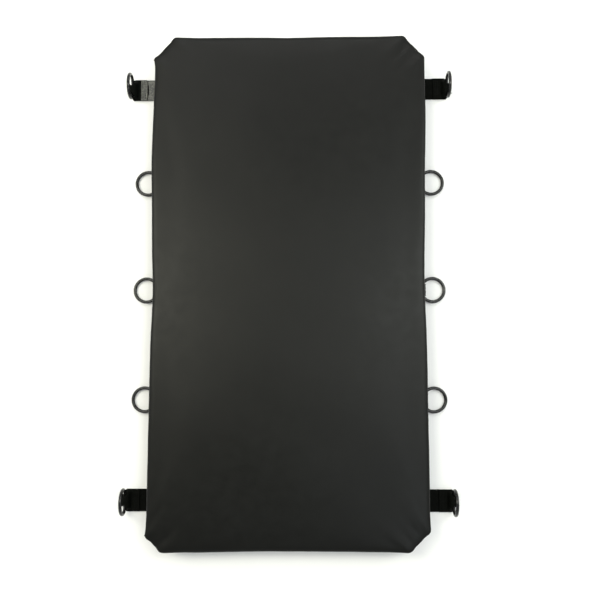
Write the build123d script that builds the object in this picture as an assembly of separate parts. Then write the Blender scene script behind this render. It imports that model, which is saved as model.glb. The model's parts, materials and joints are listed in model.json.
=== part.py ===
from build123d import *
from math import cos, radians, sin, sqrt
import os

# Padded mat with ring straps, lying face up. Millimetres.
# Origin: middle of the footprint, on the surface that the mat lies on.
# +X across the mat, +Y along it towards the head end, +Z up.

# Driving dimensions: pad
pad_width = 504.0
pad_length = 944.0
pad_height = 52.0
corner_cut = 34.0       # how much each corner loses along each side
upper_roll = 10.0       # radius of the cover over the foam's top edge
lower_roll = 26.0       # radius of the cover under the foam's bottom edge
cover_thickness = 1.5
foam_clearance = 0.1
ear_reach = 4.0         # pointed seam ears at both ends of each cut corner
ear_ply = 1.0           # each panel's share of an ear
ear_root = 4.0          # how far an ear's ply runs on into its panel
seam_groove = 0.8       # square groove that the seam pulls into the cover
seam_thread = 0.6

# Driving dimensions: webbing
web_width = 41.0
web_ply = 2.0
strap_inset = 81.0      # centre line of an end strap, from the pad's end
band_pitch = 206.0      # between the cross bands' centre lines
strap_reach = 51.0      # from the pad's side out to where a strap end holds its ring
fold_back = 26.0        # folded ply of a strap end, from the ring inwards
loop_slope = 14.0       # the folded ply comes down over this length
band_slope = 10.0       # the same, where a band's plies meet behind a side ring
loop_width = 22.0       # the webbing gathers to this width where it goes round a ring
gather_length = 7.0     # over which it narrows
jog_start = 24.0        # the strap drops from the cover to the floor between
jog_end = 8.0           # these two distances inside the pad's side
flex_offset = 3.0       # where a strap end bends, outside the pad's side
flex_clearance = 0.3

# Driving dimensions: rings
ring_wire = 6.0
ring_outside = 50.0
wire_slack = 0.9        # between a ring's wire and the webbing round it
ring_inset = 3.3        # a side ring is held this far inside the pad's side
lying_droop = 3.6       # degrees that a lying ring tips down, so its far side meets the floor
side_swing = (0.0, 20.0, 40.0, 60.0)     # directions that a side ring takes, from lying
corner_swing = (0.0, 34.0, 68.0, 101.0, 135.0)  # directions that a corner ring takes, from lying

# Driving dimensions: stitching
stitch_length = 4.0
stitch_pitch = 6.0
stitch_width = 0.9
stitch_height = 0.4
stitch_margin = 4.0     # from a row of stitches to the webbing's edge
tack_pitch = 3.6
tack_spacing = 3.5      # between the cross rows that close a strap end's loop
tack_margin = 2.0       # from the last cross row to the folded ply's end
groove_width = 1.3
groove_depth = 0.5
box_length = 30.0       # the box of stitching near a webbing's end
tack_rows = 3
stitch_inset = 26.0     # rows under the pad stop this far inside its side

half_width = pad_width / 2
half_length = pad_length / 2
pad_base = 2 * web_ply
pad_top = pad_base + pad_height
seam_height = pad_base + lower_roll
strap_y = half_length - strap_inset
ring_radius = (ring_outside - ring_wire) / 2
eye_radius = ring_wire / 2 + wire_slack
hold_height = eye_radius + web_ply
side_hold_x = half_width - ring_inset
corner_hold_x = half_width + strap_reach
wire_play = ring_radius - sqrt(ring_radius ** 2 - (loop_width / 2) ** 2)
flex_x = half_width + flex_offset
stitch_reach = half_width - stitch_inset
side_names = {"left": -1, "right": 1}
strap_rows = {"head": strap_y, "foot": -strap_y}
band_rows = {"upper": band_pitch, "middle": 0.0, "lower": -band_pitch}

os.makedirs("parts", exist_ok=True)


def save(shape, name):
    export_step(shape, f"parts/{name}.step")


def on_side(shape, side):
    """The shape as drawn is on the right side; the left side is its mirror image."""
    if side > 0:
        return shape
    return mirror(shape, about=Plane.YZ)


# Pad

def pad_outline(inset):
    """Plan of the pad: a rectangle with its corners cut, moved inwards by the inset."""
    x, y = half_width, half_length
    cut = corner_cut + ear_reach
    quarter = [(x, y - cut), (x - cut, y)]
    points = quarter + [(-px, py) for px, py in reversed(quarter)]
    points += [(-px, -py) for px, py in points]
    outline = make_face(Polyline(*points, close=True))
    if inset == 0:
        return outline
    return offset(outline, -inset, kind=Kind.INTERSECTION)


def pad_body(inset):
    """The whole pad, with its edges rolled over, moved inwards by the inset."""
    body = extrude(Pos(0, 0, pad_base + inset) * pad_outline(inset), pad_height - 2 * inset)
    bottom_edges = body.edges().group_by(Axis.Z)[0]
    body = fillet(bottom_edges, lower_roll - inset)
    top_edges = body.edges().group_by(Axis.Z)[-1]
    return fillet(top_edges, upper_roll - inset)


def seam_ring(depth, height):
    """A flat ring along the seam line, as deep as given, let into the pad's side."""
    ring = pad_outline(0) - pad_outline(depth)
    return extrude(Pos(0, 0, seam_height - height / 2) * ring, height)


def ears(level):
    """One ply of the eight pointed ears, each with its tip at a corner of the uncut panel."""
    x, y = half_width, half_length
    side_tip = (x, y - corner_cut)
    side_root = [(x, y - corner_cut - ear_reach), (x - ear_root, y - corner_cut - ear_reach),
                 (x - ear_reach - ear_root, y - corner_cut), (x - ear_reach, y - corner_cut)]
    end_tip = (x - corner_cut, y)
    end_root = [(x - corner_cut - ear_reach, y), (x - corner_cut - ear_reach, y - ear_root),
                (x - corner_cut, y - ear_reach - ear_root), (x - corner_cut, y - ear_reach)]
    right_top = [make_face(Polyline(side_tip, *side_root, close=True)),
                 make_face(Polyline(end_tip, *end_root, close=True))]
    top = right_top + [mirror(one, about=Plane.YZ) for one in right_top]
    outlines = top + [mirror(one, about=Plane.XZ) for one in top]
    return [extrude(Pos(0, 0, level) * one, ear_ply, dir=(0, 0, 1)) for one in outlines]


def cover_panel(upper):
    """Half of the cover, above or below the seam, with its plies of the ears."""
    shell = pad_body(0) - pad_body(cover_thickness)
    kept = Keep.TOP if upper else Keep.BOTTOM
    panel = split(shell, bisect_by=Plane.XY.offset(seam_height), keep=kept)
    panel -= seam_ring(seam_groove, seam_groove)
    ear_level = seam_height + seam_groove / 2 if upper else seam_height - seam_groove / 2 - ear_ply
    for lobe in ears(ear_level):
        panel += lobe - pad_body(cover_thickness / 2)
    return panel


def seam_line():
    return seam_ring(seam_thread, seam_thread)


# Stitching

def stitch():
    return extrude(SlotOverall(stitch_length, stitch_width), stitch_height)


def stitch_row(start, end, level, pitch=stitch_pitch):
    """Stitches in a straight row, from the start to the end, each resting on the level."""
    run = Vector(*end) - Vector(*start)
    count = int((run.length - stitch_length) // pitch) + 1
    angle = Vector(1, 0).get_signed_angle(run, Vector(0, 0, 1))
    first = (run.length - (count - 1) * pitch) / 2
    row = []
    for i in range(count):
        place = Vector(*start) + run.normalized() * (first + i * pitch)
        row.append(Pos(place.X, place.Y, level) * Rot(0, 0, angle) * stitch())
    return row


def edge_rows(y, reach):
    """The two long rows of a strap, as pairs of end points."""
    offset_y = web_width / 2 - stitch_margin
    return [((-reach, y + s * offset_y), (reach, y + s * offset_y)) for s in (-1, 1)]


def box_rows(y, reach):
    """Cross rows that close the long rows into a box of stitching at each end."""
    inner = web_width / 2 - stitch_margin - stitch_pitch / 2
    rows = []
    for side in (-1, 1):
        outer_x = side * (reach - stitch_pitch / 2)
        inner_x = side * (reach - box_length)
        rows.append(((inner_x, y - inner), (inner_x, y + inner)))
        rows.append(((outer_x, y - inner), (outer_x, y + inner)))
    return rows


def sewn_rows(y, level):
    """All the stitches that hold one webbing to the cover."""
    stitches = []
    for start, end in edge_rows(y, stitch_reach) + box_rows(y, stitch_reach):
        stitches += stitch_row(start, end, level)
    return stitches


# Webbing

def loop_outline(hold_x, swing, wall, tail):
    """Section, in X and Z, round every place that the ring's curving wire takes in its loop."""
    radius = eye_radius + wall
    edges = Line(*tail).edges() + (Pos(hold_x, hold_height) * Circle(radius)).edges()
    for direction in swing:
        x = hold_x + wire_play * cos(radians(direction))
        z = hold_height + wire_play * sin(radians(direction))
        edges += (Pos(x, z) * Circle(radius)).edges()
    return make_hull(edges)


def loop_section(hold_x, swing, slope, ply_top):
    """The webbing of one loop, from where its plies part, round the ring and back."""
    foot = hold_x - slope
    eye_point = foot + 2 * web_ply
    outer = loop_outline(hold_x, swing, web_ply, ((foot, 0), (foot, ply_top)))
    eye = loop_outline(hold_x, swing, 0, ((eye_point, web_ply), (eye_point + wire_slack, web_ply)))
    return outer - eye


def webbing(section, y):
    """A section drawn in X and Z, as wide as the webbing and centred on y."""
    return Pos(0, y, 0) * extrude(Plane.XZ * section, web_width / 2, both=True)


def gathered(shape, y, full_until, narrow_from):
    """Keeps the webbing's full width up to one place and the loop's width from another."""
    wide, narrow, far = web_width / 2, loop_width / 2, half_width + 2 * strap_reach
    right = [(0, wide), (full_until, wide), (narrow_from, narrow), (far, narrow)]
    left = [(x, -half) for x, half in reversed(right)]
    plan = make_face(Polyline(*right, *left, close=True))
    return shape & Pos(0, y, 0) * extrude(plan, pad_top)


def cross_band(y):
    """Doubled webbing under the pad, with a loop at each end for a side ring."""
    foot = side_hold_x - band_slope
    flat_part = Pos(foot / 2, pad_base / 2) * Rectangle(foot, pad_base)
    section = flat_part + loop_section(side_hold_x, side_swing, band_slope, pad_base)
    narrow_from = side_hold_x - eye_radius - web_ply
    half = gathered(webbing(section, y), y, narrow_from - gather_length, narrow_from)
    band = half + mirror(half, about=Plane.YZ)
    for start, end in edge_rows(y, stitch_reach) + box_rows(y, stitch_reach):
        band -= groove(start, end)
    return band


def groove(start, end):
    """A shallow groove in the underside, where a row of stitches pulls in."""
    middle_x = (start[0] + end[0]) / 2
    middle_y = (start[1] + end[1]) / 2
    size_x = abs(end[0] - start[0]) + groove_width
    size_y = abs(end[1] - start[1]) + groove_width
    return Pos(middle_x, middle_y, 0) * Box(size_x, size_y, 2 * groove_depth)


def end_strap(y):
    """Webbing sewn across under the pad, which drops to the floor before each side."""
    flat = half_width - jog_start
    low = half_width - jog_end
    end = flex_x - web_ply / 2 - flex_clearance
    right = [(0, web_ply), (flat, web_ply), (low, 0), (end, 0)]
    over = [(end, web_ply), (low, web_ply), (flat, 2 * web_ply), (0, 2 * web_ply)]
    half = webbing(make_face(Polyline(*right, *over, close=True)), y)
    return half + mirror(half, about=Plane.YZ)


def strap_end(side, y):
    """Free end of a strap: it bends at a rounded root and is folded round a ring."""
    length = corner_hold_x - flex_x
    lower = Pos(flex_x + length / 2, web_ply / 2) * Rectangle(length, web_ply)
    root = Pos(flex_x, web_ply / 2) * Circle(web_ply / 2)
    lower_ply = webbing(lower + root, y)
    lower_ply = gathered(lower_ply, y, corner_hold_x - gather_length / 2, corner_hold_x)
    flat_fold = fold_back - loop_slope
    flat_middle = corner_hold_x - loop_slope - flat_fold / 2
    folded = Pos(flat_middle, 1.5 * web_ply) * Rectangle(flat_fold, web_ply)
    loop = loop_section(corner_hold_x, corner_swing, loop_slope, 2 * web_ply)
    upper = webbing(folded + loop, y)
    foot = corner_hold_x - loop_slope
    return on_side(lower_ply + gathered(upper, y, foot, foot + gather_length), side)


def strap_end_tack(side, y):
    """Cross rows of stitches that close the folded ply onto the strap."""
    reach = web_width / 2 - tack_margin
    first_x = corner_hold_x - fold_back + tack_margin
    rows = []
    for i in range(tack_rows):
        x = first_x + i * tack_spacing
        rows += stitch_row((x, y - reach), (x, y + reach), 2 * web_ply, tack_pitch + stitch_width)
    return [on_side(one, side) for one in rows]


# Rings

def ring(hold_x, y, direction):
    """Welded round ring, held at one point of its wire, in a direction up from lying."""
    wire = Pos(ring_radius, 0, 0) * Torus(ring_radius, ring_wire / 2)
    return Pos(hold_x, y, hold_height) * Rot(0, -direction, 0) * wire


# Build

save(pad_body(cover_thickness + foam_clearance), "foam_core")
save(cover_panel(upper=True), "cover_top")
save(cover_panel(upper=False), "cover_bottom")
save(seam_line(), "seam_thread")

for row_name, row_y in strap_rows.items():
    save(end_strap(row_y), f"{row_name}_strap")
    strap_level = web_ply - stitch_height
    save(Compound(sewn_rows(row_y, strap_level)), f"{row_name}_strap_stitching")
    for side_name, side in side_names.items():
        save(strap_end(side, row_y), f"{row_name}_strap_end_{side_name}")
        save(Compound(strap_end_tack(side, row_y)), f"{row_name}_strap_end_{side_name}_stitching")
        corner_ring = on_side(ring(corner_hold_x, row_y, direction=90), side)
        save(corner_ring, f"{row_name}_ring_{side_name}")

for band_name, band_y in band_rows.items():
    save(cross_band(band_y), f"{band_name}_band")
    band_level = groove_depth - stitch_height
    save(Compound(sewn_rows(band_y, band_level)), f"{band_name}_band_stitching")
    for side_name, side in side_names.items():
        side_ring = on_side(ring(side_hold_x, band_y, direction=-lying_droop), side)
        save(side_ring, f"{band_name}_ring_{side_name}")
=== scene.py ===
import json
import math

import bpy
import numpy as np
from mathutils import Matrix, Vector


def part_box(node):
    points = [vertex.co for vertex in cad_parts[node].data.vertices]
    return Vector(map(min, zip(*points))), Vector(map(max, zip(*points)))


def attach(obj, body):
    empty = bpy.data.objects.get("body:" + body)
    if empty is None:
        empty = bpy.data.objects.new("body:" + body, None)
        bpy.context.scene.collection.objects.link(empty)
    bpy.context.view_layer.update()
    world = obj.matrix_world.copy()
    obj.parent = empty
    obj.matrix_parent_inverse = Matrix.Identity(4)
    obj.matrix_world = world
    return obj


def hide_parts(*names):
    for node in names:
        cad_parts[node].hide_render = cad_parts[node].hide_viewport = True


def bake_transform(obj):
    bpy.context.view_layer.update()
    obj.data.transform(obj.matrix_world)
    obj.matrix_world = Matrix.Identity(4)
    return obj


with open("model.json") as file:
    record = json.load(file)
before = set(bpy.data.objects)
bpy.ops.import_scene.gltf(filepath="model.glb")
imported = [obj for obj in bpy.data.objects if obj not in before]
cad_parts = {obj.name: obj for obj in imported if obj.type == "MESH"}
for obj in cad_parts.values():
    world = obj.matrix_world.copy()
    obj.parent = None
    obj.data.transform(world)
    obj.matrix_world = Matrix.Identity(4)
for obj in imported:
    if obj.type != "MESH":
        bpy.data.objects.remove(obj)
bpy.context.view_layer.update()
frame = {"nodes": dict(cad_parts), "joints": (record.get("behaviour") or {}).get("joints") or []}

# A padded mat with ring straps, lying face up. Metres; +X across, +Y to the head end, +Z up.

# Sizes that the frame gives
half_width, half_length, pad_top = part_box("cover_top")[1]
pad_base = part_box("cover_bottom")[0].z
seam_height = sum(corner.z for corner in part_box("seam_thread")) / 2
strap_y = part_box("head_strap")[0].y / 2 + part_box("head_strap")[1].y / 2
band_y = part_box("upper_band")[0].y / 2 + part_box("upper_band")[1].y / 2
web_half = (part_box("head_strap")[1].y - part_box("head_strap")[0].y) / 2
joint_places = {joint["name"]: joint for joint in frame["joints"]}

# Pad
corner_cut = 0.036          # what each corner loses along each side
uneven_cut = {(-1, 1): 0.0008, (1, 1): 0.0008, (-1, -1): -0.0115, (1, -1): -0.003}
# Relative sizes of each corner's two ears, on the side and on the end
ear_sizes = {(-1, 1): (1.0, 0.15), (1, 1): (0.1, 0.1), (-1, -1): (1.0, 0.1), (1, -1): (0.5, 0.4)}
roll_reach = 0.026          # from the seam in to the flat of the panel
side_fullness = 11.0        # a higher power makes a squarer edge
corner_fullness = 4.6
lower_fullness = 2.05
side_swell = 0.0022         # how far the filling pushes the cover out above the seam
pucker_depth = 0.00055      # gathers along the cut corners
pucker_width = 0.0016
grid_across = 60
grid_along = 108
roll_places = (0.16, 0.30, 0.40, 0.46, 0.50, 0.54, 0.60, 0.72, 0.86, 1.0)
roll_steps = len(roll_places)
cover_sag = 0.0014          # the underside between two webbings
cloth_cap = 0.0008          # how far the simulation may move a point
cloth_frames = 20
cloth_start = 0.0004        # its faces start lower by this much
cloth_ease = 0.0008         # above the seam its sides start further out, and the cloth draws them in

# Seam lip and ears
lip_reach = 0.0009
lip_half = 0.0009
ear_reach = 0.0018
ear_half = 0.0075
ear_draw = 0.0026           # how far the cover is drawn out into an ear
ear_spread = 1.6            # how much wider than an ear the cover round it is drawn out
corner_rise = 0.017         # the seam is drawn up by this much along each cut corner
rise_fade = 0.045
cut_blend = 0.007           # over which a side's shape turns into a cut corner's

# Webbing
ply = 0.002
wire_radius = 0.003
wire_slack = 0.0009
loop_half = 0.011
ring_radius = 0.022
fold_back = 0.026
tuck = 0.003                # from the first cross row of a box to the end of the long rows
highlight_strap_curve = 0.0035       # how far the middle of the fold runs on, on the strap whose colour carries painted highlights
corner_slope = 0.014
band_slope = 0.010
strap_split = 0.150         # the strap under the pad meets its two end pieces here
jog_start = 0.024
jog_end = 0.008
row_offset = web_half - 0.004   # the long rows of stitches, from the webbing's middle
row_reach = 0.226
box_length = 0.030
groove_half = 0.00075
groove_depth = 0.0005

sides = {"left": -1, "right": 1}
straps = {"head": strap_y, "foot": -strap_y}
bands = {"upper": band_y, "middle": 0.0, "lower": -band_y}


def mesh_piece(name, points, faces, uvs=None):
    """A mesh object from its points, its faces and a texture place for each point."""
    mesh = bpy.data.meshes.new(name)
    mesh.from_pydata([tuple(p) for p in points], [], faces)
    if uvs is not None:
        layer = mesh.uv_layers.new(name="cloth")
        corners = np.empty(len(mesh.loops), np.int32)
        mesh.loops.foreach_get("vertex_index", corners)
        layer.data.foreach_set("uv", np.asarray(uvs, np.float32)[corners].ravel())
    for face in mesh.polygons:
        face.use_smooth = True
    mesh.validate()
    piece = bpy.data.objects.new(name, mesh)
    bpy.context.scene.collection.objects.link(piece)
    return piece


def smooth_step(low, high, value):
    """Runs from 0 at low to 1 at high, level at both."""
    t = np.clip((np.asarray(value, float) - low) / (high - low), 0, 1)
    return t * t * (3 - 2 * t)


def bump(value, centre, half):
    """A smooth hill of height 1 round the centre."""
    return np.exp(-((np.asarray(value, float) - centre) / half) ** 2)


# Materials


class Nodes:
    """Short ways to build one material's node tree."""

    def __init__(self, name):
        self.material = bpy.data.materials.new(name)
        self.material.use_nodes = True
        self.tree = self.material.node_tree
        self.shader = self.tree.nodes["Principled BSDF"]

    def node(self, kind, **values):
        made = self.tree.nodes.new(kind)
        for key, value in values.items():
            if key in made.inputs:
                made.inputs[key].default_value = value
            else:
                setattr(made, key, value)
        return made

    def link(self, source, target):
        self.tree.links.new(source, target)

    def math(self, operation, first, second=None):
        made = self.node("ShaderNodeMath", operation=operation)
        for slot, value in enumerate((first, second)):
            if value is None:
                continue
            if isinstance(value, (int, float)):
                made.inputs[slot].default_value = value
            else:
                self.link(value, made.inputs[slot])
        return made.outputs[0]

    def noise(self, place, scale, detail=3.0, roughness=0.5):
        made = self.node("ShaderNodeTexNoise", Scale=scale, Detail=detail, Roughness=roughness)
        self.link(place, made.inputs["Vector"])
        return made.outputs["Fac"]

    def blend(self, factor, first, second):
        """A colour between two, by the factor."""
        made = self.node("ShaderNodeMix", data_type="RGBA")
        self.link(factor, made.inputs["Factor"])
        made.inputs["A"].default_value = (*first, 1)
        made.inputs["B"].default_value = (*second, 1)
        return made.outputs["Result"]

    def remap(self, value, low, high, out_low, out_high):
        made = self.node("ShaderNodeMapRange")
        self.link(value, made.inputs["Value"])
        for slot, number in zip(("From Min", "From Max", "To Min", "To Max"),
                                (low, high, out_low, out_high)):
            made.inputs[slot].default_value = number
        return made.outputs["Result"]

    def bump(self, height, distance, strength, below=None):
        made = self.node("ShaderNodeBump", Distance=distance, Strength=strength)
        self.link(height, made.inputs["Height"])
        if below is not None:
            self.link(below, made.inputs["Normal"])
        return made.outputs["Normal"]


def cover_material():
    """Black coated cloth: nearly smooth, with a fine grain, faint mottling and a soft sheen."""
    made = Nodes("coated_cloth")
    place = made.node("ShaderNodeTexCoord").outputs["Object"]
    cloud = made.noise(place, 9.0, 4.0)
    grain = made.noise(place, 900.0, 2.0)
    crease = made.noise(place, 60.0, 5.0, 0.6)
    cells = made.node("ShaderNodeTexVoronoi", Scale=1100.0)
    made.link(place, cells.inputs["Vector"])
    tone = made.remap(made.math("ADD", cloud, made.math("MULTIPLY", grain, 0.25)), 0.35, 0.85, 0, 1)
    made.link(made.blend(tone, (0.0016, 0.0018, 0.0011), (0.0031, 0.0033, 0.0024)),
              made.shader.inputs["Base Color"])
    made.link(made.remap(crease, 0.3, 0.7, 0.35, 0.42), made.shader.inputs["Roughness"])
    fine = made.bump(cells.outputs["Distance"], 0.00012, 0.35)
    soft = made.bump(crease, 0.0006, 0.18, fine)
    made.link(made.bump(cloud, 0.004, 0.10, soft), made.shader.inputs["Normal"])
    made.shader.inputs["Specular IOR Level"].default_value = 0.2
    made.shader.inputs["Sheen Weight"].default_value = 0.02
    made.shader.inputs["Sheen Roughness"].default_value = 0.5
    return made.material


def webbing_material(name, roughness, specular, tint, fleck_and_glint):
    """Woven nylon webbing: ribs along it, plain weave across and flecks, from the cloth's own places. The
    tint and flecks given for the plain webbing are its own colour; those given for the lit copy are painted
    sheen and painted highlights.
    """
    made = Nodes(name)
    place = made.node("ShaderNodeTexCoord")
    split = made.node("ShaderNodeSeparateXYZ")
    made.link(place.outputs["UV"], split.inputs["Vector"])
    along, across = split.outputs["X"], split.outputs["Y"]
    rib = made.math("SINE", made.math("MULTIPLY", across, 2 * math.pi / 0.0025))
    pick = made.math("SINE", made.math("MULTIPLY", along, 2 * math.pi / 0.0022))
    weave = made.math("MULTIPLY", rib, pick)
    height = made.math("ADD", made.math("MULTIPLY", weave, 0.5), made.math("MULTIPLY", rib, 0.35))
    cloud = made.noise(place.outputs["Object"], 45.0, 5.0, 0.6)
    fibre = made.noise(place.outputs["Object"], 1400.0, 2.0)
    tone = made.remap(made.math("ADD", height, made.math("MULTIPLY", cloud, 1.2)), -0.4, 1.6, 0, 1)
    dark = tuple(0.45 * part for part in tint)
    woven_tone = made.blend(tone, dark, tint)
    # Spots that take the fleck colour: the webbing's own flecks in the plain webbing, painted highlights in
    # the lit copy.
    fleck_and_glint_spots = made.remap(made.noise(place.outputs["Object"], 300.0, 4.0, 0.75), 0.47, 0.60, 0, 1)
    flecked = made.node("ShaderNodeMix", data_type="RGBA")
    made.link(fleck_and_glint_spots, flecked.inputs["Factor"])
    made.link(woven_tone, flecked.inputs["A"])
    flecked.inputs["B"].default_value = (*fleck_and_glint, 1)
    made.link(flecked.outputs["Result"], made.shader.inputs["Base Color"])
    made.link(made.remap(cloud, 0.3, 0.7, roughness - 0.08, roughness + 0.08),
              made.shader.inputs["Roughness"])
    thread = made.bump(fibre, 0.00012, 0.3)
    woven = made.bump(height, 0.00035, 0.6, thread)
    made.link(made.bump(cloud, 0.0012, 0.35, woven), made.shader.inputs["Normal"])
    made.shader.inputs["Specular IOR Level"].default_value = specular
    return made.material


def thread_material():
    """Bonded sewing thread, laid in turns along each stitch."""
    made = Nodes("sewing_thread")
    place = made.node("ShaderNodeTexCoord").outputs["Object"]
    twist = made.node("ShaderNodeTexWave", Scale=1500.0, Distortion=1.5, bands_direction="DIAGONAL")
    made.link(place, twist.inputs["Vector"])
    made.link(made.blend(twist.outputs["Fac"], (0.0016, 0.0017, 0.0013), (0.0050, 0.0052, 0.0045)),
              made.shader.inputs["Base Color"])
    made.link(made.bump(twist.outputs["Fac"], 0.0001, 0.5), made.shader.inputs["Normal"])
    made.shader.inputs["Roughness"].default_value = 0.8
    made.shader.inputs["Specular IOR Level"].default_value = 0.08
    return made.material


def ring_material():
    """Welded steel ring with a glossy black finish, rubbed to grey in small spots."""
    made = Nodes("black_ring")
    place = made.node("ShaderNodeTexCoord").outputs["Object"]
    wear = made.noise(place, 260.0, 5.0, 0.65)
    swirl = made.noise(place, 70.0, 3.0)
    rubbed = made.remap(wear, 0.60, 0.70, 0, 1)
    made.link(made.blend(rubbed, (0.0035, 0.0035, 0.0035), (0.10, 0.098, 0.092)),
              made.shader.inputs["Base Color"])
    made.link(made.math("MULTIPLY", rubbed, 0.7), made.shader.inputs["Metallic"])
    made.link(made.remap(swirl, 0.3, 0.7, 0.16, 0.34), made.shader.inputs["Roughness"])
    fine = made.bump(wear, 0.0003, 0.25)
    made.link(made.bump(swirl, 0.0008, 0.2, fine), made.shader.inputs["Normal"])
    made.shader.inputs["Specular IOR Level"].default_value = 0.3
    made.shader.inputs["Coat Weight"].default_value = 0.25
    made.shader.inputs["Coat Roughness"].default_value = 0.12
    return made.material


def floor_material():
    """Plain pale floor with hardly any mottling."""
    made = Nodes("pale_floor")
    place = made.node("ShaderNodeTexCoord").outputs["Object"]
    cloud = made.noise(place, 3.0, 2.0)
    made.link(made.blend(cloud, (0.90, 0.90, 0.885), (0.92, 0.92, 0.915)),
              made.shader.inputs["Base Color"])
    made.shader.inputs["Roughness"].default_value = 0.8
    return made.material


# Pad


def octagon(u, v, inset):
    """Plan places for places on a square from -1 to 1, with the corners cut off."""
    half_x = half_width - inset
    half_y = half_length - inset
    level = np.maximum(np.maximum(np.abs(u), np.abs(v)), 1e-6)
    cut = corner_cut - (2 - math.sqrt(2)) * inset
    for (side, end), extra in uneven_cut.items():
        cut = cut + extra * (np.sign(u) == side) * (np.sign(v) == end)
    over = (np.abs(u) * half_x + np.abs(v) * half_y) / level - (half_x + half_y - cut)
    pull = np.maximum(0, over) / 2 * level ** 6
    return u * half_x - np.sign(u) * pull, v * half_y - np.sign(v) * pull


def side_wave(side, y):
    """How far the pad's side stands out from straight: it is drawn in at the middle ring."""
    if side < 0:
        flare = 0.0065 * np.maximum(0, -y - 0.13)
        full = 0.0028 * bump(y, 0.24, 0.08) - 0.0012 * bump(y, 0.41, 0.035)
        return -0.0002 + full + flare - 0.0025 * bump(y, -0.01, 0.07)
    full = 0.0026 * smooth_step(0.20, 0.32, y) + 0.0008 * smooth_step(0.22, 0.33, -y)
    full = full - 0.0012 * smooth_step(0.34, 0.42, y)
    return -0.0003 + full - 0.0026 * bump(y, 0.02, 0.10)


def end_wave(end, x):
    """The same for the pad's ends, whose middles are drawn in a little."""
    if end > 0:
        return 0.0025 + 0.0016 * x - 0.0013 * bump(x, 0, 0.05)
    return -0.0003 + 0.0026 * smooth_step(0.03, 0.19, np.abs(x)) - 0.0016 * smooth_step(0.04, 0.16, x)


def plan(u, v, inset):
    """Plan places with the pad's own unevenness, which fades inwards."""
    x, y = octagon(u, v, inset)
    from_side = np.where(u > 0, side_wave(1, y), side_wave(-1, y))
    from_end = np.where(v > 0, end_wave(1, x), end_wave(-1, x))
    return (x + np.sign(u) * np.abs(u) ** 14 * from_side,
            y + np.sign(v) * np.abs(v) ** 20 * from_end)


def roll_profile(fullness, height):
    """Distances out and up along a panel's rounded edge, from its flat to the seam."""
    angle = np.linspace(0, math.pi / 2, 400)
    out = roll_reach * np.sin(angle) ** (2 / fullness)
    up = height * np.cos(angle) ** (2 / fullness)
    run = np.concatenate([[0], np.cumsum(np.hypot(np.diff(out), np.diff(up)))])
    wanted = run[-1] * np.array([0, *roll_places])
    return np.interp(wanted, run, out), np.interp(wanted, run, up)


def closer_at_ends(count, amount=0.35):
    """Places from -1 to 1 that lie closer together towards both ends."""
    t = np.linspace(-1, 1, count + 1)
    return t + amount * np.sin(math.pi * t) / math.pi


def with_corners(places, corner):
    """The places with the nearest ones moved onto the two ends of the corner cuts."""
    for wanted in (-corner, corner):
        places[np.argmin(np.abs(places - wanted))] = wanted
    return places


def square_walk(across, along):
    """The grid places round the edge of the square, counterclockwise from the right foot corner."""
    right = [(across, j) for j in range(along)]
    head = [(i, along) for i in range(across, 0, -1)]
    left = [(0, j) for j in range(along, 0, -1)]
    foot = [(i, 0) for i in range(across)]
    return right + head + left + foot


def ear_places():
    """The eight corners of the cut outline at the seam, each with its ear's direction and size."""
    places = []
    for (side, end), extra in uneven_cut.items():
        cut = corner_cut + extra
        corners = ((side, end * (1 - cut / half_length), (side, -0.25 * end)),
                   (side * (1 - cut / half_width), end, (-0.25 * side, end)))
        for (u, v, way), size in zip(corners, ear_sizes[side, end]):
            x, y = plan(np.array([float(u)]), np.array([float(v)]), 0)
            length = math.hypot(*way)
            places.append((x[0], y[0], way[0] / length, way[1] / length, size))
    return places


def on_cut(x, y):
    """1 along the cut corners of the outline, 0 along its sides and ends."""
    return smooth_step(0, cut_blend, np.minimum(half_width - np.abs(x), half_length - np.abs(y)))


def seam_level(x, y):
    """Height of the seam, which is drawn up along the cut corners."""
    gap = np.min([np.hypot(x - ear_x, y - ear_y) for ear_x, ear_y, *_ in ear_places()], axis=0)
    return seam_height + corner_rise * (1 - smooth_step(0, rise_fade, gap * (1 - on_cut(x, y))))


def upper_level(u, v, x, y):
    """Height of the top panel inside its rounded edge: slightly crowned, not quite even."""
    crown = 0.0010 * (1 - u ** 2) * (1 - v ** 4)
    uneven = 0.00025 * np.sin(x / 0.045 + 1.3) * np.sin(y / 0.07) + 0.0002 * np.sin(y / 0.031 + x / 0.05)
    return pad_top - 0.0012 + crown + uneven * (1 - u ** 4)


def lower_level(u, v, y):
    """Height of the underside: held on the webbing, sagging a little between."""
    nearest = np.min([np.abs(y - line) for line in (*straps.values(), *bands.values())], axis=0)
    between = smooth_step(web_half + 0.002, web_half + 0.045, nearest)
    inner = (1 - np.abs(u) ** 6) * (1 - np.abs(v) ** 16)
    return pad_base + 0.0001 - cover_sag * between * inner


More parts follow.
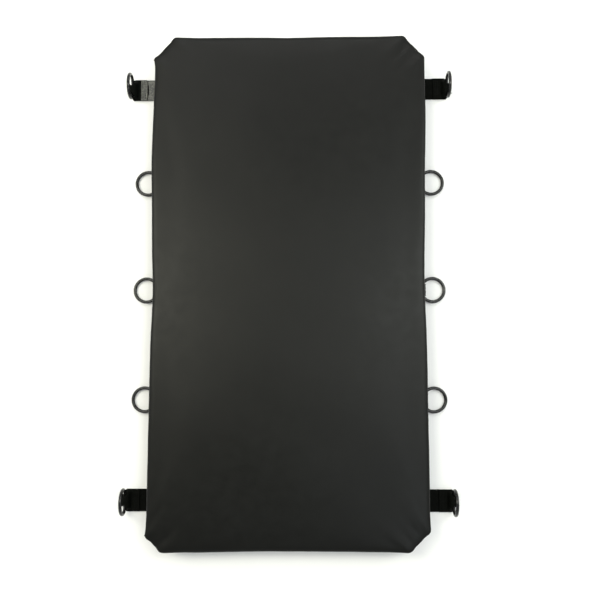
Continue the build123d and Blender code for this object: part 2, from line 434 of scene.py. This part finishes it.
def pad_mesh():
    """The stuffed cover as one closed mesh: top grid, rounded edges down to the seam and up again."""
    grid_u = with_corners(closer_at_ends(grid_across), 1 - corner_cut / half_width)
    grid_v = with_corners(closer_at_ends(grid_along), 1 - corner_cut / half_length)
    u, v = (part.ravel() for part in np.meshgrid(grid_u, grid_v, indexing="ij"))
    x, y = plan(u, v, roll_reach)
    top = np.column_stack([x, y, upper_level(u, v, x, y)])
    bottom = np.column_stack([x, y, lower_level(u, v, y)])
    walk = square_walk(grid_across, grid_along)
    edge = np.array([i * (grid_along + 1) + j for i, j in walk])
    edge_u, edge_v = u[edge], v[edge]
    count = len(edge)

    seam_x, seam_y = plan(edge_u, edge_v, 0)
    chamfer = on_cut(seam_x, seam_y)
    seam_z = seam_level(seam_x, seam_y)
    out_x, out_y = outward(seam_x, seam_y)
    along = np.arctan2(seam_y, seam_x) * 0.35

    def edge_rings(level_in, height, side_power, corner_power, bulge):
        side_out, side_up = roll_profile(side_power, height)
        corner_out, corner_up = roll_profile(corner_power, height)
        rings = []
        for step in range(1, roll_steps + 1):
            out = side_out[step] * (1 - chamfer) + corner_out[step] * chamfer
            rise = side_up[step] * (1 - chamfer) + corner_up[step] * chamfer
            share = rise / height
            z = seam_z + (level_in - seam_z) * share
            ring_x, ring_y = plan(edge_u, edge_v, roll_reach - out)
            swell = bulge * (1 - 0.45 * chamfer) * np.sin(math.pi * np.clip(share, 0, 1) ** 2.5)
            pucker = chamfer * pucker_depth * np.sin((seam_x * np.sign(seam_y) - seam_y) / pucker_width)
            pucker += 0.00018 * np.sin(along / 0.0045 + 2 * np.sin(along / 0.02))
            swell += pucker * np.sin(math.pi * np.clip(share * 0.8 + 0.15, 0, 1))
            ring_x = ring_x + out_x * swell
            ring_y = ring_y + out_y * swell
            for ear_x, ear_y, way_x, way_y, size in ear_places():
                far = np.hypot(seam_x - ear_x, seam_y - ear_y)
                near = np.clip(1 - far / (ear_spread * ear_half), 0, 1)
                drawn = near * size * ear_draw * (1 - share ** 6)
                ring_x = ring_x + way_x * drawn
                ring_y = ring_y + way_y * drawn
            rings.append(np.column_stack([ring_x, ring_y, z]))
        return rings

    upper = edge_rings(top[edge][:, 2], pad_top - seam_height, side_fullness, corner_fullness,
                       side_swell)
    lower = edge_rings(bottom[edge][:, 2], seam_height - pad_base, lower_fullness, lower_fullness,
                       0)
    seam = upper[-1].copy()
    seam[:, 2] = seam_z

    points = [top, bottom, *upper[:-1], seam, *lower[:-1]]
    starts = np.cumsum([0] + [len(part) for part in points])
    upper_rows = [edge] + [starts[2 + k] + np.arange(count) for k in range(roll_steps)]
    lower_first = 2 + roll_steps
    lower_rows = [edge + starts[1]]
    lower_rows += [starts[lower_first + k] + np.arange(count) for k in range(roll_steps - 1)]
    lower_rows.append(upper_rows[-1])

    faces = []
    for i in range(grid_across):
        for j in range(grid_along):
            a = i * (grid_along + 1) + j
            b = a + grid_along + 1
            faces.append((a, b, b + 1, a + 1))
            offset = starts[1]
            faces.append((offset + a, offset + a + 1, offset + b + 1, offset + b))
    for rows, flip in ((upper_rows, False), (lower_rows, True)):
        for inner, outer in zip(rows, rows[1:]):
            for k in range(count):
                m = (k + 1) % count
                face = (inner[k], outer[k], outer[m], inner[m])
                faces.append(tuple(int(n) for n in (face[::-1] if flip else face)))
    return np.vstack(points), faces, upper_rows[-1]


def outward(x, y):
    """Unit directions out of a closed run of plan points, counterclockwise."""
    along_x = np.roll(x, -1) - np.roll(x, 1)
    along_y = np.roll(y, -1) - np.roll(y, 1)
    length = np.hypot(along_x, along_y)
    return along_y / length, -along_x / length


def relax(piece, held, start):
    """Lets the cover settle as cloth over its filling, moving no point further than the cap."""
    group = piece.vertex_groups.new(name="held")
    for number, weight in enumerate(held):
        group.add([number], float(weight), "REPLACE")
    cloth = piece.modifiers.new("cloth", "CLOTH")
    settings = cloth.settings
    settings.quality = 6
    settings.mass = 0.3
    settings.tension_stiffness = 12
    settings.compression_stiffness = 12
    settings.shear_stiffness = 6
    settings.bending_stiffness = 0.15
    settings.use_pressure = True
    settings.uniform_pressure_force = 4
    settings.shrink_min = -0.004
    settings.vertex_group_mass = "held"
    settings.effector_weights.gravity = 0
    cloth.collision_settings.use_collision = False
    cloth.collision_settings.use_self_collision = False
    scene = bpy.context.scene
    for step in range(1, cloth_frames + 1):
        scene.frame_set(step)
    shaped = piece.evaluated_get(bpy.context.evaluated_depsgraph_get())
    settled = np.empty(len(piece.data.vertices) * 3)
    shaped.data.vertices.foreach_get("co", settled)
    move = settled.reshape(-1, 3) - start
    far = np.linalg.norm(move, axis=1, keepdims=True)
    move *= np.tanh(far / cloth_cap) * cloth_cap / np.maximum(far, 1e-9)
    piece.modifiers.remove(cloth)
    piece.vertex_groups.clear()
    piece.data.vertices.foreach_set("co", (start + move).ravel())
    piece.data.update()
    scene.frame_set(1)


def make_pad(material):
    """The stuffed cover, settled by the cloth simulation and then smoothed."""
    points, faces, seam = pad_mesh()
    pad = mesh_piece("pad_cover", points, faces)
    normals = np.empty(len(points) * 3)
    pad.data.vertices.foreach_get("normal", normals)
    ease = np.where(points[:, 2] > seam_height, cloth_ease, 0)
    start = points + normals.reshape(-1, 3) * np.column_stack(
        [ease, ease, np.full(len(points), -cloth_start)])
    start[seam] = points[seam]
    held = np.zeros(len(points))
    held[seam] = 1
    on_webbing = (np.abs(points[:, 2] - pad_base - 0.0001) < 0.0002)
    held[on_webbing] = 1
    start[on_webbing] = points[on_webbing]
    pad.data.vertices.foreach_set("co", start.ravel())
    relax(pad, held, start)
    smooth = pad.modifiers.new("smooth", "SUBSURF")
    smooth.levels = 1
    smooth.render_levels = 1
    apply_modifiers(pad)
    pad.data.materials.append(material)
    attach(pad, "pad")
    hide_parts("cover_top", "cover_bottom", "foam_core")
    return pad


def apply_modifiers(piece):
    """Keeps the shape that the modifiers make and drops them."""
    shaped = piece.evaluated_get(bpy.context.evaluated_depsgraph_get())
    mesh = bpy.data.meshes.new_from_object(shaped)
    mesh.name = piece.name
    piece.modifiers.clear()
    piece.data = mesh
    for face in mesh.polygons:
        face.use_smooth = True


def seam_path():
    """Plan points along the seam, with one exactly at each of the eight corners of its outline."""
    turns = []
    for side, end in ((1, -1), (1, 1), (-1, 1), (-1, -1)):
        cut = corner_cut + uneven_cut[side, end]
        corner = [(side, end * (1 - cut / half_length)), (side, end),
                  (side * (1 - cut / half_width), end)]
        turns += corner if side * end > 0 else corner[::-1]
    u, v = [], []
    for (u0, v0), (u1, v1) in zip(turns, turns[1:] + turns[:1]):
        length = math.hypot((u1 - u0) * half_width, (v1 - v0) * half_length)
        share = np.arange(int(length / 0.0022)) / int(length / 0.0022)
        u.append(u0 + (u1 - u0) * share)
        v.append(v0 + (v1 - v0) * share)
    x, y = plan(np.concatenate(u), np.concatenate(v), 0)
    return x, y


def make_seam(material):
    """The seam's narrow lip of two plies all round, which runs out into a pointed ear at each corner."""
    x, y = seam_path()
    out_x, out_y = outward(x, y)
    for _ in range(2):
        out_x = (np.roll(out_x, 1) + out_x + np.roll(out_x, -1)) / 3
        out_y = (np.roll(out_y, 1) + out_y + np.roll(out_y, -1)) / 3
    reach = np.full(len(x), lip_reach)
    for ear_x, ear_y, way_x, way_y, size in ear_places():
        far = np.hypot(x - ear_x, y - ear_y)
        ear = np.clip(1 - far / ear_half, 0, 1)
        reach += (ear_reach + ear_draw) * size * ear
        way = smooth_step(0, 0.6, ear)
        out_x = out_x * (1 - way) + way_x * way
        out_y = out_y * (1 - way) + way_y * way
    wobble = 0.00015 * np.sin(np.arange(len(x)) * 0.9) + 0.00012 * np.sin(np.arange(len(x)) * 0.37)
    section = [(-0.003, -1), (0.0, -1), (0.6, -0.75), (1.0, -0.3), (1.0, 0.3), (0.6, 0.75), (0.0, 1),
               (-0.003, 1)]
    rings = []
    for out, up in section:
        away = out if out < 0 else out * reach
        z = seam_level(x, y) + up * lip_half + wobble
        rings.append(np.column_stack([x + out_x * away, y + out_y * away, z]))
    count = len(x)
    faces = []
    for low in range(len(section)):
        high = (low + 1) % len(section)
        for k in range(count):
            m = (k + 1) % count
            faces.append((low * count + k, low * count + m, high * count + m, high * count + k))
    lip = mesh_piece("cover_seam_lip", np.vstack(rings), faces)
    lip.data.materials.append(material)
    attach(lip, "pad")
    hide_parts("seam_thread")


# Webbing


def arc(centre, radius, first, last, step=6):
    """Points on an arc in X and Z, from one direction to another, in degrees."""
    count = max(2, int(abs(last - first) / step) + 1)
    angles = np.radians(np.linspace(first, last, count))
    return [(centre[0] + radius * math.cos(a), centre[1] + radius * math.sin(a)) for a in angles]


def bezier(start, start_pull, end_pull, end, count=14):
    """Points on a curve in X and Z after its start, up to and including its end."""
    t = np.linspace(0, 1, count)[1:]
    weights = ((1 - t) ** 3, 3 * t * (1 - t) ** 2, 3 * t * t * (1 - t), t ** 3)
    points = (start, start_pull, end_pull, end)
    return [tuple(sum(w[k] * p[axis] for w, p in zip(weights, points)) for axis in (0, 1))
            for k in range(len(t))]


def loop_path(hold_x, turn, leave, slope):
    """Middle of the webbing from under a ring's hold, round every place its wire takes, to the upper ply."""
    eye = wire_radius + wire_slack
    radius = eye + ply / 2
    height = eye + ply
    play = ring_radius - math.sqrt(ring_radius ** 2 - loop_half ** 2)
    lying = (hold_x + play, height)
    raised = (hold_x + play * math.cos(math.radians(turn)), height + play * math.sin(math.radians(turn)))
    points = arc(lying, radius, -90, 0)
    points += arc((hold_x, height), radius + play, 0, turn)[1:]
    points += arc(raised, radius, turn, leave)[1:]
    last = points[-1]
    way = math.radians(leave + 90)
    pull = (last[0] + 0.35 * slope * math.cos(way), last[1] + 0.35 * slope * math.sin(way))
    foot = (hold_x - slope, 1.5 * ply)
    return points + bezier(last, pull, (foot[0] + 0.4 * slope, foot[1]), foot)


def straight(start, end, step=0.006):
    """Points from the start up to, not including, the end."""
    length = math.hypot(end[0] - start[0], end[1] - start[1])
    count = max(1, int(length / step))
    return [(start[0] + (end[0] - start[0]) * k / count, start[1] + (end[1] - start[1]) * k / count)
            for k in range(count)]


def stitched_stations(points, places):
    """The run of points with stations added just inside and outside each cross row's groove."""
    wanted = []
    for place in places:
        wanted += [place - 2 * groove_half, place - groove_half, place + groove_half,
                   place + 2 * groove_half]
    xs = sorted({round(p[0], 6) for p in points} | {round(w, 6) for w in wanted})
    return [(x, points[0][1]) for x in xs]


def ribbon(name, path, y, half_at, closed=False, grooves=False, side=1, closing=None, ahead=None):
    """Webbing along a path in X and Z, which turns counterclockwise round a ring.

    half_at is its half width at each point, closing how far its edges come down there, and ahead
    how far its middle runs on.
    """
    path = np.array(path, float)
    count = len(path)
    if closed:
        tangent = np.roll(path, -1, 0) - np.roll(path, 1, 0)
        steps = np.linalg.norm(path - np.roll(path, 1, 0), axis=1)
        steps[0] = 0
    else:
        tangent = np.gradient(path, axis=0)
        steps = np.concatenate([[0], np.linalg.norm(np.diff(path, axis=0), axis=1)])
    tangent /= np.linalg.norm(tangent, axis=1, keepdims=True)
    normal = np.column_stack([-tangent[:, 1], tangent[:, 0]])
    run = np.cumsum(steps)
    edge = 0.0006
    lines = np.array([-1, -0.9, -0.5, 0, 0.5, 0.9, 1]) * groove_half * 2
    inner = sorted({round(value, 6) for value in np.concatenate([
        np.linspace(-web_half + edge, web_half - edge, 15), row_offset + lines, -row_offset + lines])
        if abs(value) <= web_half - edge})
    across = np.array([-web_half, *inner, web_half])
    thick = np.full(len(across), ply / 2)
    thick[[0, -1]] = ply / 5
    section_y = np.concatenate([across, across[::-1]])
    section_up = np.concatenate([thick, -thick[::-1]])
    points, uvs = [], []
    for station in range(count):
        share = half_at[station] / web_half
        slack = 1 - share
        fold = slack * 0.0011 * (1 - np.cos(3 * math.pi * section_y / web_half)) / 2
        up = section_up.copy()
        if grooves and path[station][1] < 0.6 * ply:
            depth = groove_at(path[station][0], section_y) * groove_depth
            up = np.where(section_up < 0, section_up + depth, section_up)
        clear = float(smooth_step(0.8 * ply, 2 * ply, path[station][1]))
        up = up - fold * clear
        droop = np.zeros(len(section_y))
        further = np.zeros(len(section_y))
        if closing:
            droop = closing[station] * smooth_step(0.55, 0.95, np.abs(section_y) / web_half)
            further = ahead[station] * (1 - (section_y / web_half) ** 2)
        for k in range(len(section_y)):
            centre = path[station] + normal[station] * up[k] + tangent[station] * further[k]
            points.append((side * centre[0], y + section_y[k] * share, centre[1] - droop[k]))
            uvs.append((run[station], section_y[k]))
    size = len(section_y)
    faces = []
    spans = count if closed else count - 1
    for station in range(spans):
        after = (station + 1) % count
        for k in range(size):
            m = (k + 1) % size
            face = (station * size + k, station * size + m, after * size + m, after * size + k)
            faces.append(face[::-1] if side > 0 else face)
    if not closed:
        first = tuple(range(size))
        last = tuple(range((count - 1) * size, count * size))
        faces += [first, last[::-1]] if side > 0 else [first[::-1], last]
    return mesh_piece(name, points, faces, uvs)


def groove_at(x, across):
    """1 in the grooves where the rows of stitches pull in, 0 elsewhere."""
    lengthwise = (np.abs(np.abs(across) - row_offset) < groove_half * 1.01) & (abs(x) < row_reach)
    crosswise = np.zeros(len(across), bool)
    for place in (row_reach - tuck, row_reach - box_length):
        near = abs(abs(x) - place) < groove_half * 1.01
        crosswise |= near & (np.abs(across) < row_offset - 0.002)
    return (lengthwise | crosswise).astype(float)


def make_strap_end(row, y, side_name, material, fold_material, fold_curve):
    """The end of a strap: from under the pad, out past its side, round the ring and back on itself."""
    side = sides[side_name]
    body = f"{row}_strap_end_{side_name}"
    hold = abs(joint_places[f"{row}_ring_{side_name}_swing"]["pos_m"][0])
    high, low = 1.5 * ply, 0.5 * ply
    drop, land = half_width - jog_start, half_width - jog_end
    path = straight((strap_split, high), (drop, high))
    path += bezier((drop - 0.0005, high), (drop + 0.006, high), (land - 0.006, low), (land, low), 10)
    path += straight((land + 0.001, low), (hold - 0.012, low), 0.0015)
    path += straight((hold - 0.012, low), (hold, low), 0.001)
    turn = len(path)
    path += loop_path(hold, 135, 150, corner_slope)
    path += straight((hold - corner_slope - 0.001, high), (hold - fold_back, high), 0.0015)
    path.append((hold - fold_back, high))
    halves = []
    closing = []
    ahead = []
    for number, (x, z) in enumerate(path):
        upper = number > turn + 20
        full, narrow = (hold - 0.0035, hold + 0.0005) if upper else (hold, hold + 0.006)
        share = float(smooth_step(full, narrow, x))
        halves.append(web_half + (loop_half - web_half) * share)
        closing.append(max(0, z - high) if upper else 0)
        flat_share = float(smooth_step(hold - corner_slope, hold - fold_back, x))
        ahead.append(fold_curve * flat_share if upper else 0)
    piece = ribbon(f"{body}_webbing", path, y, halves, side=side, closing=closing, ahead=ahead)
    piece.data.materials.append(material)
    piece.data.materials.append(fold_material)
    ring_size = (len(piece.data.polygons) - 2) // (len(path) - 1)
    # Only upward-facing faces on the run out from the pad keep the first material, and all other faces take
    # the fold material. On the head's left strap this paints its top with the lit copy's painted highlights,
    # while its underside and fold stay the plain dark webbing.
    for face in piece.data.polygons:
        x, _ = path[min(face.index // ring_size, len(path) - 1)]
        if face.normal.z < 0.3 or not half_width < x < hold - corner_slope:
            face.material_index = 1
    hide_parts(body)
    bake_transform(piece)


def make_strap(row, y, material):
    """The middle of a strap, sewn across under the pad."""
    path = straight((-strap_split, 1.5 * ply), (strap_split, 1.5 * ply), 0.010)
    path.append((strap_split, 1.5 * ply))
    piece = ribbon(f"{row}_strap_webbing", path, y, [web_half] * len(path))
    piece.data.materials.append(material)
    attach(piece, "pad")
    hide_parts(f"{row}_strap")


def make_band(name, y, material):
    """Doubled webbing under the pad, in one closed loop round the two side rings."""
    hold = abs(joint_places[f"{name}_ring_right_swing"]["pos_m"][0])
    low, high = 0.5 * ply, 1.5 * ply
    right = loop_path(hold, 60, 125, band_slope)
    foot = right[-1][0]
    cross_rows = [s * place for s in (-1, 1) for place in (row_reach - tuck, row_reach - box_length)]
    start = hold - 0.020
    lower = straight((-start, low), (start, low), 0.008) + [(start, low)]
    lower = stitched_stations(lower, cross_rows)
    approach = straight((start + 0.0015, low), (hold, low), 0.0015)
    upper = straight((foot - 0.002, high), (-foot + 0.002, high), 0.008)
    left = [(-x, z) for x, z in reversed(right)]
    path = lower + approach + right + upper + left + [(-x, z) for x, z in reversed(approach)]
    near_loop = hold - wire_radius - wire_slack - ply
    halves = []
    for x, z in path:
        share = float(smooth_step(near_loop - 0.007, near_loop, abs(x)))
        halves.append(web_half + (loop_half - web_half) * share)
    piece = ribbon(f"{name}_band_webbing", path, y, halves, closed=True, grooves=True)
    piece.data.materials.append(material)
    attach(piece, "pad")
    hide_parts(f"{name}_band")


# Stage, light and camera


def make_floor():
    """A wide floor just under the mat."""
    size = 6.0
    floor = mesh_piece("floor", [(-size, -size, -0.0003), (size, -size, -0.0003), (size, size, -0.0003),
                                 (-size, size, -0.0003)], [(0, 1, 2, 3)])
    floor.data.materials.append(floor_material())


def area_light(name, place, target, size, power, colour):
    """A soft rectangular light that faces its target."""
    light = bpy.data.lights.new(name, "AREA")
    light.shape = "RECTANGLE"
    light.size, light.size_y = size
    light.energy = power
    light.color = colour
    lamp = bpy.data.objects.new(name, light)
    lamp.location = place
    lamp.rotation_euler = (Vector(target) - Vector(place)).to_track_quat("-Z", "Y").to_euler()
    bpy.context.scene.collection.objects.link(lamp)


def make_lights():
    """A sky that is dimmer overhead, soft lights on both sides and small ones at the ends."""
    world = bpy.data.worlds.new("studio")
    bpy.context.scene.world = world
    world.use_nodes = True
    tree = world.node_tree
    sky = tree.nodes["Background"]
    place = tree.nodes.new("ShaderNodeTexCoord")
    split = tree.nodes.new("ShaderNodeSeparateXYZ")
    fade = tree.nodes.new("ShaderNodeMapRange")
    tree.links.new(place.outputs["Generated"], split.inputs["Vector"])
    tree.links.new(split.outputs["Z"], fade.inputs["Value"])
    tree.links.new(fade.outputs["Result"], sky.inputs["Strength"])
    for slot, number in zip(("From Min", "From Max", "To Min", "To Max"), (0.3, 1.0, 0.95, 0.22)):
        fade.inputs[slot].default_value = number
    sky.inputs["Color"].default_value = (0.98, 0.99, 1.0, 1)
    area_light("left_soft", (-1.12, 0.30, 1.9), (-0.2, 0.1, 0), (0.7, 1.5), 26, (1.0, 0.99, 0.84))
    area_light("right_soft", (1.08, 0.30, 1.9), (0.2, 0, 0), (0.7, 2.0), 25, (0.96, 1.0, 0.95))
    area_light("head_soft", (0.0, 1.70, 1.9), (0, 0, 0), (1.6, 0.5), 12, (1.0, 1.0, 0.97))
    area_light("head_panel", (-0.72, 1.15, 1.96), (-0.2, 0.3, 0), (0.4, 0.4), 2.5, (1.0, 1.0, 0.92))
    area_light("foot_corner", (0.72, -0.80, 1.9), (0.2, -0.35, 0), (0.6, 0.6), 3.5, (0.86, 0.93, 1.0))


def make_camera():
    """Looks down from just above the mat's middle, from a little towards its foot end."""
    place = Vector((0.0438, -0.1527, 1.511))
    tip = math.radians(5.09)
    turn = math.radians(-0.88)
    forward = Vector((math.sin(turn), math.sin(tip), -math.cos(tip))).normalized()
    right = forward.cross(Vector((0, 1, 0))).normalized()
    up = right.cross(forward)
    camera = bpy.data.objects.new("camera", bpy.data.cameras.new("camera"))
    camera.data.sensor_width = 36
    camera.data.lens = 48
    camera.matrix_world = Matrix((
        (right.x, up.x, -forward.x, place.x),
        (right.y, up.y, -forward.y, place.y),
        (right.z, up.z, -forward.z, place.z),
        (0, 0, 0, 1)))
    bpy.context.scene.collection.objects.link(camera)
    bpy.context.scene.camera = camera


# Build

cover = cover_material()
make_pad(cover)
make_seam(cover)

dull_webbing = webbing_material("nylon_webbing", 0.72, 0.05, (0.0022, 0.0027, 0.0018),
                                (0.0034, 0.0040, 0.0030))
# A lit copy of the same webbing: its lighter tint and pale flecks are painted sheen and painted highlights.
painted_highlight_webbing = webbing_material("webbing_painted_highlights", 0.36, 0.9, (0.014, 0.014, 0.011),
                                 (0.105, 0.110, 0.084))
for row_name, row_y in straps.items():
    make_strap(row_name, row_y, dull_webbing)
    for name in sides:
        # The head's left strap end gets the lit copy, whose colour carries painted highlights and sheen.
        rubbed = row_name == "head" and name == "left"
        first, curve = (painted_highlight_webbing, highlight_strap_curve) if rubbed else (dull_webbing, 0.0)
        make_strap_end(row_name, row_y, name, first, dull_webbing, curve)
for band_name, row_y in bands.items():
    make_band(band_name, row_y, dull_webbing)

thread = thread_material()
metal = ring_material()
for node_name, node in frame["nodes"].items():
    if "stitching" in node_name:
        node.data.materials.clear()
        node.data.materials.append(thread)
    if "_ring_" in node_name:
        node.data.materials.clear()
        node.data.materials.append(metal)

make_floor()
make_lights()
make_camera()
bpy.context.scene.view_settings.view_transform = "Standard"
